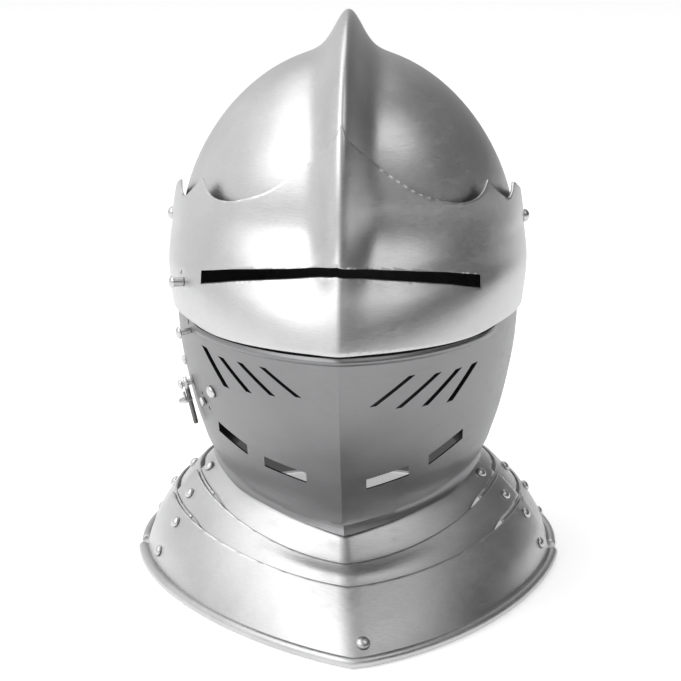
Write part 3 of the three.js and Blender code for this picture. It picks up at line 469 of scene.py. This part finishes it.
def fix_normals(obj):
    work = bmesh.new()
    work.from_mesh(obj.data)
    bmesh.ops.recalc_face_normals(work, faces=work.faces)
    work.to_mesh(obj.data)
    work.free()


def apply_modifiers(obj):
    graph = bpy.context.evaluated_depsgraph_get()
    mesh = bpy.data.meshes.new_from_object(obj.evaluated_get(graph))
    old = obj.data
    obj.modifiers.clear()
    obj.data = mesh
    bpy.data.meshes.remove(old)
    mesh.name = obj.name


def cut_with(obj, cutters):
    for cutter in cutters:
        step = obj.modifiers.new("cut", "BOOLEAN")
        step.operation = "DIFFERENCE"
        step.solver = "EXACT"
        step.object = cutter
    apply_modifiers(obj)
    for cutter in cutters:
        bpy.data.objects.remove(cutter)


def finish_edges(obj, width, limit=SHARP, crease=SHARP):
    """A small round along every sharp edge, and smooth shading between them."""
    work = bmesh.new()
    work.from_mesh(obj.data)
    bmesh.ops.remove_doubles(work, verts=work.verts, dist=1e-6)
    work.to_mesh(obj.data)
    work.free()
    for polygon in obj.data.polygons:
        polygon.use_smooth = True
    if width:
        step = obj.modifiers.new("edges", "BEVEL")
        step.width = width * MM
        step.segments = 2
        step.limit_method = "ANGLE"
        step.angle_limit = limit * DEG
        step.harden_normals = True
        apply_modifiers(obj)
        for polygon in obj.data.polygons:
            polygon.use_smooth = True
    obj.data.set_sharp_from_angle(angle=crease * DEG)


def place_on(surface, angle, level, gap):
    """Where a piece made along +Z, with +Y up the plate, stands on a surface."""
    out = normal_of(surface, angle, level)
    across = Vector((0, 0, 1)).cross(out).normalized()
    up = out.cross(across)
    point = surface(angle, level) + out * gap
    return Matrix(((across.x, up.x, out.x, point.x), (across.y, up.y, out.y, point.y),
                   (across.z, up.z, out.z, point.z), (0, 0, 0, 1)))


def turned(name, profile, place, sides=32):
    """A profile of (radius, height) turned about the place's +Z."""
    points, faces, rings = [], [], []
    for radius, height in profile:
        if radius == 0:
            rings.append([len(points)])
            points.append(place @ Vector((0, 0, height)))
        else:
            rings.append([len(points) + i for i in range(sides)])
            for i in range(sides):
                turn = 2 * math.pi * i / sides
                points.append(place @ Vector((radius * math.cos(turn), radius * math.sin(turn), height)))
    for low, high in zip(rings, rings[1:]):
        for i in range(sides):
            add_face(faces, [low[i % len(low)], low[(i + 1) % len(low)],
                             high[(i + 1) % len(high)], high[i % len(high)]])
    obj = mesh_object(name, points, faces)
    fix_normals(obj)
    return obj


def dome(radius, height, base, steps=8):
    leans = [90 * i / steps * DEG for i in range(steps)]
    side = [(radius * math.cos(lean), base + height * math.sin(lean)) for lean in leans]
    return [*side, (0, base + height)]


def join(first, others):
    work = bmesh.new()
    for obj in [first, *others]:
        work.from_mesh(obj.data)
    work.to_mesh(first.data)
    work.free()
    for obj in others:
        bpy.data.objects.remove(obj)
    return first


# Materials

def steel(name, colour, rough, grain, streak):
    """Satin steel: a brushed grain, faint clouding and handling marks."""
    material = bpy.data.materials.new(name)
    material.use_nodes = True
    nodes, links = material.node_tree.nodes, material.node_tree.links
    shader = nodes["Principled BSDF"]
    shader.inputs["Metallic"].default_value = 1.0
    place = nodes.new("ShaderNodeTexCoord")

    def noise(scale, detail, stretch):
        mapping = nodes.new("ShaderNodeMapping")
        mapping.inputs["Scale"].default_value = stretch
        links.new(place.outputs["Object"], mapping.inputs["Vector"])
        texture = nodes.new("ShaderNodeTexNoise")
        texture.inputs["Scale"].default_value = scale
        texture.inputs["Detail"].default_value = detail
        links.new(mapping.outputs["Vector"], texture.inputs["Vector"])
        return texture.outputs["Fac"]

    def ranged(value, low, high, start=0.3, end=0.7):
        node = nodes.new("ShaderNodeMapRange")
        node.inputs["From Min"].default_value = start
        node.inputs["From Max"].default_value = end
        node.inputs["To Min"].default_value = low
        node.inputs["To Max"].default_value = high
        links.new(value, node.inputs["Value"])
        return node.outputs["Result"]

    def maths(operation, first, second):
        node = nodes.new("ShaderNodeMath")
        node.operation = operation
        for socket, value in zip(node.inputs, (first, second)):
            if isinstance(value, float):
                socket.default_value = value
            else:
                links.new(value, socket)
        return node.outputs["Value"]

    clouds = noise(scale=22, detail=5, stretch=(1, 1, 1))
    brushed = noise(scale=260, detail=6, stretch=streak)
    marks = noise(scale=75, detail=8, stretch=(1, 1, 2.5))
    shade = nodes.new("ShaderNodeMix")
    shade.data_type = "RGBA"
    clouded = [c * 0.8 for c in colour]
    shade.inputs["A"].default_value = (*clouded, 1)
    shade.inputs["B"].default_value = (*colour, 1)
    tone = maths("ADD", ranged(clouds, 0.1, 0.75), ranged(brushed, -0.12, 0.3))
    links.new(tone, shade.inputs["Factor"])
    links.new(shade.outputs["Result"], shader.inputs["Base Color"])
    gloss = maths("ADD", ranged(clouds, rough - 0.04, rough + 0.05), ranged(brushed, -0.03, 0.05))
    gloss = maths("ADD", gloss, ranged(marks, 0.0, 0.07, 0.55, 0.75))
    links.new(gloss, shader.inputs["Roughness"])
    bump = nodes.new("ShaderNodeBump")
    bump.inputs["Strength"].default_value = grain
    bump.inputs["Distance"].default_value = 0.0002
    links.new(maths("ADD", brushed, maths("MULTIPLY", clouds, 2.5)), bump.inputs["Height"])
    links.new(bump.outputs["Normal"], shader.inputs["Normal"])
    return material


BRUSHED, EVEN = (1, 1, 9), (1, 1, 1)
PLATE = steel("plate_steel", (0.64, 0.64, 0.645), rough=0.37, grain=0.34, streak=BRUSHED)
# The bevor's steel is darker than the plate steel: painted shade, for the darker floor and surroundings that
# its downward faces reflect
BEVOR_PAINTED_SHADE = steel("bevor_steel_painted_shade", (0.27, 0.27, 0.275), rough=0.38, grain=0.34, streak=BRUSHED)
BRIGHT = steel("fitting_steel", (0.66, 0.66, 0.66), rough=0.3, grain=0.1, streak=EVEN)
IRON = steel("dark_iron", (0.2, 0.195, 0.19), rough=0.42, grain=0.3, streak=EVEN)
# The inner faces get a dark steel: painted shade inside the helmet, so that the slits and the sight look
# dark
INSIDE_PAINTED_SHADE = steel("inner_steel_painted_shade", (0.2, 0.2, 0.2), rough=0.5, grain=0.3, streak=EVEN)


def dress(obj, body, node, material, second=None):
    """Gives a piece its steel, and the faces marked 1 a second one, in the place of a node."""
    kept = [polygon.material_index for polygon in obj.data.polygons]
    obj.data.materials.clear()
    obj.data.materials.append(material)
    if second:
        obj.data.materials.append(second)
    for polygon, index in zip(obj.data.polygons, kept):
        polygon.material_index = index if second else 0
    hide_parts(node)
    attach(obj, body)


# Cutters

def across_head(u, v, w):
    return Vector((w, -u, v))


def from_ahead(u, v, w):
    return Vector((u, -w, v))


def standing(place):
    return lambda u, v, w: place @ Vector((u, v, w))


def circle(radius, half_count):
    turns = [i * math.pi / half_count for i in range(2 * half_count)]
    return [(radius * math.cos(turn), radius * math.sin(turn)) for turn in turns]


def rectangle(half_width, half_height):
    return [(-half_width, -half_height), (half_width, -half_height),
            (half_width, half_height), (-half_width, half_height)]


def bore():
    return prism(circle(PIVOT_HOLE, 12), across_head, PIVOT_SPAN)


def face_opening():
    corner = [(CHEEK_EDGE + BROW_CORNER * (1 - math.cos(a)), BROW_EDGE - BROW_CORNER * (1 - math.sin(a)))
              for a in spread(0, math.pi / 2, 10)]
    ahead = [(OPENING_FRONT, BROW_EDGE), (OPENING_FRONT, OPENING_FOOT)]
    return prism([(CHEEK_EDGE, OPENING_FOOT), *corner, *ahead], across_head, OPENING_SPAN)


# Sight: side share, middle, height
SIGHT = [
    (0, -0.024, 1), (0.12, -0.037, 1), (0.26, -0.051, 1), (0.5, -0.068, 1.1), (0.75, -0.092, 1.25),
    (0.94, -0.12, 1.38), (1, -0.13, 1.4),
]


def sight():
    outline = []
    for edge in (1, -1):
        for share in spread(-1, 1, 48):
            at = edge * share
            middle = NECK * read(SIGHT, 1, abs(at))
            half = SIGHT_HALF_HEIGHT * read(SIGHT, 2, abs(at))
            outline.append((SIGHT_HALF_LENGTH * at - SIGHT_SHIFT, middle - edge * half))
    return prism(outline, from_ahead, AHEAD_SPAN)


# Slits and slots: outer side, outer drop, inner side, inner drop
BREATHS = [
    (-0.8, 0.404, -0.665, 0.547), (-0.69, 0.415, -0.521, 0.532), (-0.57, 0.407, -0.379, 0.516),
    (-0.433, 0.399, -0.227, 0.499), (0.4, 0.422, 0.183, 0.531), (0.547, 0.438, 0.326, 0.557),
    (0.664, 0.447, 0.472, 0.574), (0.758, 0.45, 0.613, 0.588),
]
SLOTS = [
    (-0.747, 0.775, -0.562, 0.829), (-0.457, 0.858, -0.203, 0.886), (0.384, 0.879, 0.142, 0.907),
    (0.7, 0.779, 0.5, 0.854),
]


def slit(row, aside):
    outer = Vector((HALF_WIDTH * row[0], -NECK * row[1]))
    inner = Vector((HALF_WIDTH * row[2], -NECK * row[3]))
    corners = [outer + aside, outer - aside, inner - aside, inner + aside]
    return prism([tuple(c) for c in corners], from_ahead, AHEAD_SPAN)


def slot_on(surface, angle, rise, wide, tall):
    place = place_on(surface, angle * DEG, rise * NECK, 0)
    return prism(rectangle(wide / 2, tall / 2), standing(place), PLATE_SPAN)


def hole_on(surface, angle, rise, radius):
    place = place_on(surface, angle * DEG, rise * NECK, 0)
    return prism(circle(radius, 10), standing(place), PLATE_SPAN)


# Plates

skull = skull_shell(stations=160, rows=40, arcs=84)
cut_with(skull, [face_opening(), bore()])
finish_edges(skull, PLATE_ROUND)
dress(skull, "skull", "skull", PLATE, second=INSIDE_PAINTED_SHADE)

cusps = [sign * run[-1][0] * DEG for sign in (1, -1) for run in SCALLOPS[:-1]]
visor_angles = sorted(ridged(VISOR_WRAP, half_count=62, crowding=0.5) + cusps)
visor = plate("visor_plate", visor_point, visor_angles, visor_bottom, visor_top,
              rows=44, thickness=VISOR_PLATE)
cut_with(visor, [sight(), hole_on(visor_point, -61, -0.147, PIN_HOLE), bore()])
finish_edges(visor, PLATE_ROUND)
dress(visor, "visor", "visor", PLATE, second=INSIDE_PAINTED_SHADE)

bevor_angles = ridged(BEVOR_WRAP, half_count=54, crowding=0.25)
bevor = plate("bevor_plate", bevor_point, bevor_angles, bevor_bottom, bevor_top,
              rows=116, thickness=BEVOR_PLATE, crowding=1.5)
bevor_cuts = [slit(row, Vector((BREATH_HALF, 0))) for row in BREATHS]
bevor_cuts += [slit(row, Vector((0, SLOT_HALF))) for row in SLOTS]
bevor_cuts += [
    slot_on(bevor_point, -61.3, -0.334, CATCH_SLOT, 5), slot_on(bevor_point, -67, -0.633, CATCH_SLOT, 9.5),
    hole_on(bevor_point, -59.3, -0.651, PIN_HOLE), slot_on(bevor_point, -55.8, -0.705, CATCH_SLOT, 2.5),
    bore(),
]
cut_with(bevor, bevor_cuts)
finish_edges(bevor, THIN_ROUND, crease=BEVOR_SHARP)
dress(bevor, "bevor", "bevor", BEVOR_PAINTED_SHADE, second=INSIDE_PAINTED_SHADE)


def roll(name, surface, angles, sides=20):
    """The rolled rim: a closed tube along the plate's lower edge, flush with its inner face."""
    points, faces = [], []
    for angle in angles:
        out = normal_of(surface, angle, -1)
        aside = Vector((out.x, out.y, 0)).normalized()
        centre = surface(angle, -1) + aside * (ROLL - LAME_PLATE)
        for i in range(sides):
            turn = 2 * math.pi * i / sides
            points.append(centre + aside * (ROLL * math.cos(turn)) + Vector((0, 0, ROLL * math.sin(turn))))
    for i in range(len(angles) - 1):
        for j in range(sides):
            a, b = i * sides + j, i * sides + (j + 1) % sides
            faces.append((a, a + sides, b + sides, b))
    last = (len(angles) - 1) * sides
    faces.append(tuple(range(sides)))
    faces.append(tuple(range(last + sides - 1, last - 1, -1)))
    return mesh_object(name, points, faces)


def around(low, high, count):
    return spread(low * DEG, high * DEG, count)


# Lames by side: body, lowest edge, layers below the first, angles of the plate and of the roll
SIDES = {
    "front": ("bevor", front_edge, 0, around(-80, 80, 80), around(-80, 80, 96)),
    "back": ("skull", back_edge, 1, around(60, 300, 120), around(84, 276, 96)),
}
for lame in LAMES:
    number, top = lame[:2]
    rolled = number == len(LAMES)
    rows = 22 if rolled else 14
    for side, (body, edge, below, angles, roll_angles) in SIDES.items():
        name = f"{side}_lame_plate_{number}"
        surface = lame_surface(LAME_STEP * (number - below))
        piece = plate(name, surface, angles, edge(lame), lambda a: -top, rows, LAME_PLATE)
        finish_edges(piece, THIN_ROUND)
        if rolled:
            tube = roll("roll", surface, roll_angles)
            finish_edges(tube, ROLL_ROUND, ROLL_SHARP)
            piece = join(piece, [tube])
            piece.data.set_sharp_from_angle(angle=SHARP * DEG)
        dress(piece, body, f"{side}_lame_{number}", PLATE, second=INSIDE_PAINTED_SHADE)


# Fittings

def rivet(name, surface, angle, level, radius, body, node):
    place = place_on(surface, angle, level, SEAT_GAP)
    head = dome(radius, DOME_RISE * radius, DOME_LIFT)
    obj = turned(name, [(0, 0), (radius * DOME_FOOT, 0), *head], place)
    finish_edges(obj, 0)
    dress(obj, body, node, BRIGHT)


def peg(name, surface, angle, rise, stem, head, length, body, node):
    cap = DOME_RISE * head
    neck = length - cap
    profile = [(0, 0), (stem, 0), (stem, neck - (head - stem) / 2), (head * PEG_LIP, neck - PEG_LIP_HEIGHT),
               *dome(head, cap, neck)]
    obj = turned(name, profile, place_on(surface, angle * DEG, rise * NECK, SEAT_GAP))
    finish_edges(obj, 0)
    dress(obj, body, node, BRIGHT)


peg("visor_peg_turned", visor_point, -59.5, -0.179, 2.7, 3.4, 8, "visor", "visor_peg")
peg("bevor_peg_turned", bevor_point, -60, -0.373, 1.7, 3.5, 8.5, "bevor", "bevor_peg")
peg("catch_peg_turned", bevor_point, CATCH_DEGREES, CATCH_LEVEL, 1.8, 3.1, 8.4, "bevor", "catch_peg")
rivet("side_rivet_domed", bevor_point, -75.5 * DEG, -0.568 * NECK, SIDE_RIVET, "bevor", "side_rivet")
rivet("keeper_stud_domed", bevor_point, -50.5 * DEG, -0.607 * NECK, KEEPER_STUD, "bevor", "keeper_stud")

button_place = place_on(bevor_point, -59 * DEG, -0.685 * NECK, SEAT_GAP)
button_turn = Matrix.Rotation(BUTTON_TURN * DEG, 4, "Z")
square = rectangle(BUTTON_HALF, BUTTON_HALF)
button = prism(square, lambda u, v, w: button_place @ (button_turn @ Vector((u, v, w))), (0, BUTTON_HEIGHT))
button.name = "spring_button_block"
finish_edges(button, THIN_ROUND)
dress(button, "bevor", "spring_button", BRIGHT)

hook_place = place_on(bevor_point, CATCH_DEGREES * DEG, CATCH_LEVEL * NECK, SEAT_GAP)


def along_up(low, lift):
    """A place whose +Z runs up the plate from a height below the peg, at a lift off the plate."""
    return hook_place @ Matrix(((1, 0, 0, 0), (0, 0, 1, low), (0, -1, 0, lift), (0, 0, 0, 1)))


eye_profile = [(EYE_BORE, EYE_FOOT), (EYE_RADIUS, EYE_FOOT), (EYE_RADIUS, EYE_TOP), (EYE_BORE, EYE_TOP),
               (EYE_BORE, EYE_FOOT)]
eye = turned("catch_hook_forged", eye_profile, hook_place)
rod_length = ROD_TOP - ROD_FOOT
rod_profile = [(0, 0), (ROD_TIP, 0), (ROD_RADIUS, ROD_TIP_HEIGHT), (ROD_RADIUS, rod_length), (0, rod_length)]
rod = turned("rod", rod_profile, along_up(ROD_FOOT, ROD_LIFT), 20)
ring_profile = [(0, 0), (RING_EDGE, 0), (RING_RADIUS, RING_ROUND), (RING_RADIUS, RING_HEIGHT - RING_ROUND),
                (RING_EDGE, RING_HEIGHT), (0, RING_HEIGHT)]
ring = turned("collar", ring_profile, along_up(RING_FOOT, RING_LIFT))
link_length = LINK_TOP - LINK_FOOT
link_profile = [(0, 0), (LINK_RADIUS, 0), (LINK_RADIUS, link_length), (0, link_length)]
link = turned("link", link_profile, along_up(LINK_FOOT, RING_LIFT), 16)
for polygon in rod.data.polygons:
    polygon.material_index = 1
hook = join(eye, [rod, ring, link])
finish_edges(hook, HOOK_ROUND)
dress(hook, "hook", "catch_hook", BRIGHT, IRON)

pivot_inside = HALF_WIDTH - SKULL_PLATE - BURR_ROOM - BURR_HEIGHT
pivot_outside = VISOR_WIDTH + SEAT_GAP - pivot_inside
pivot_profile = [
    (0, 0), (BURR_RADIUS, 0), (BURR_RADIUS, BURR_HEIGHT), (PIVOT_STEM, BURR_HEIGHT),
    (PIVOT_STEM, pivot_outside), (PIVOT_FOOT, pivot_outside),
    *dome(PIVOT_HEAD, PIVOT_CAP, pivot_outside + PIVOT_LIFT),
]
for side, node in ((1, "pivot_rivet_left"), (-1, "pivot_rivet_right")):
    across = Matrix.Rotation(side * math.pi / 2, 4, "Y")
    place = Matrix.Translation((side * pivot_inside, 0, 0)) @ across
    pivot = turned(node + "_turned", pivot_profile, place)
    finish_edges(pivot, 0)
    dress(pivot, "skull", node, BRIGHT)

# Lame rivets: node, lame, front, degrees, level
RIVETS = [
    ("front_rivet_right_1", 1, True, -76, 0.292), ("front_rivet_right_2", 2, True, -69.5, 0.52),
    ("front_rivet_right_3", 3, True, -64, 0.675), ("front_rivet_right_4", 3, True, -66, 0.883),
    ("front_rivet_left_1", 1, True, 71.5, 0.271), ("front_rivet_left_2", 2, True, 71, 0.515),
    ("front_rivet_left_3", 3, True, 73, 0.665), ("front_rivet_left_4", 3, True, 72.5, 0.857),
    ("back_rivet_right_1", 2, False, -97, 0.5), ("back_rivet_right_2", 3, False, -97, 0.66),
    ("back_rivet_right_3", 3, False, -100, 0.885), ("back_rivet_left_1", 2, False, 97, 0.5),
    ("back_rivet_left_2", 3, False, 97, 0.66), ("back_rivet_left_3", 3, False, 100, 0.885),
]
for node, number, front, degrees, level in RIVETS:
    surface = lame_surface(LAME_STEP * (number if front else number - 1))
    body = "bevor" if front else "skull"
    rivet(node + "_domed", surface, degrees * DEG, -level, LAME_RIVET, body, node)
foremost = lame_surface(3 * LAME_STEP)
rivet("centre_rivet_domed", foremost, 1.2 * DEG, -0.905, CENTRE_RIVET, "bevor", "centre_rivet")


# Stage, light and camera

FLOOR_HALF = 9
floor_mesh = bpy.data.meshes.new("floor")
floor_mesh.from_pydata([(u, v, 0) for u, v in rectangle(FLOOR_HALF, FLOOR_HALF)], [], [(0, 1, 2, 3)])
floor = bpy.data.objects.new("floor", floor_mesh)
bpy.context.scene.collection.objects.link(floor)
paper = bpy.data.materials.new("floor_paper")
paper.use_nodes = True
# It glows a little, to come as near white as the photograph's floor
for socket, value in (("Base Color", (0.93, 0.93, 0.93, 1)), ("Roughness", 0.95),
                      ("Emission Color", (1, 1, 1, 1)), ("Emission Strength", 0.42)):
    paper.node_tree.nodes["Principled BSDF"].inputs[socket].default_value = value
floor.data.materials.append(paper)


def lamp(name, position, target, size, power):
    light = bpy.data.lights.new(name, "AREA")
    light.shape = "RECTANGLE"
    light.size, light.size_y = size
    light.energy = power
    obj = bpy.data.objects.new(name, light)
    obj.location = position
    obj.rotation_euler = (Vector(target) - Vector(position)).to_track_quat("-Z", "Y").to_euler()
    bpy.context.scene.collection.objects.link(obj)


lamp("key", (-1.35, -0.9, 1.75), (0, 0, 0.2), (1.8, 1.5), 15)
lamp("fill", (1.1, -0.5, 1.8), (0, 0, 0.22), (0.9, 1.0), 4.2)
lamp("top", (-0.5, 0.7, 2.3), (0, 0.1, 0.2), (2.6, 1.5), 15)
lamp("front", (-0.5, -2.1, 1.7), (0, 0, 0.15), (1.4, 0.7), 2.6)

world = bpy.data.worlds.new("studio")
bpy.context.scene.world = world
world.use_nodes = True
sky, sky_links = world.node_tree.nodes, world.node_tree.links
background = sky["Background"]
direction = sky.new("ShaderNodeTexCoord")
parts = sky.new("ShaderNodeSeparateXYZ")
sky_links.new(direction.outputs["Generated"], parts.inputs["Vector"])
# Lighter to the left than to the right, as in the photograph
gradient = sky.new("ShaderNodeMapRange")
gradient.interpolation_type = "SMOOTHSTEP"
for socket, value in (("From Min", -0.9), ("From Max", 0.9), ("To Min", 0.95), ("To Max", 0.12)):
    gradient.inputs[socket].default_value = value
sky_links.new(parts.outputs["X"], gradient.inputs["Value"])
sky_links.new(gradient.outputs["Result"], background.inputs["Strength"])
background.inputs["Color"].default_value = (1, 1, 1, 1)
bpy.context.scene.view_settings.view_transform = "Standard"

# The photograph's camera: metres away, pixels a side, millimetres that a pixel covers at that distance
DISTANCE, PICTURE, PIXEL = 1.15, 681, 0.604
SENSOR, SHIFT, AIM_HEIGHT = 36, -7.5, 134
ELEVATION, AZIMUTH = 16 * DEG, 2 * DEG
camera_data = bpy.data.cameras.new("camera")
camera = bpy.data.objects.new("camera", camera_data)
bpy.context.scene.collection.objects.link(camera)
target = Vector((PIVOT.x, PIVOT.y, AIM_HEIGHT)) * MM
level_away = math.cos(ELEVATION)
back = Vector((math.sin(AZIMUTH) * level_away, -math.cos(AZIMUTH) * level_away, math.sin(ELEVATION)))
camera.location = target + back * DISTANCE
camera.rotation_euler = (-back).to_track_quat("-Z", "Y").to_euler()
camera_data.sensor_width = SENSOR
camera_data.lens = SENSOR * (DISTANCE / MM / PIXEL) / PICTURE
camera_data.shift_x = SHIFT / PICTURE
bpy.context.scene.camera = camera
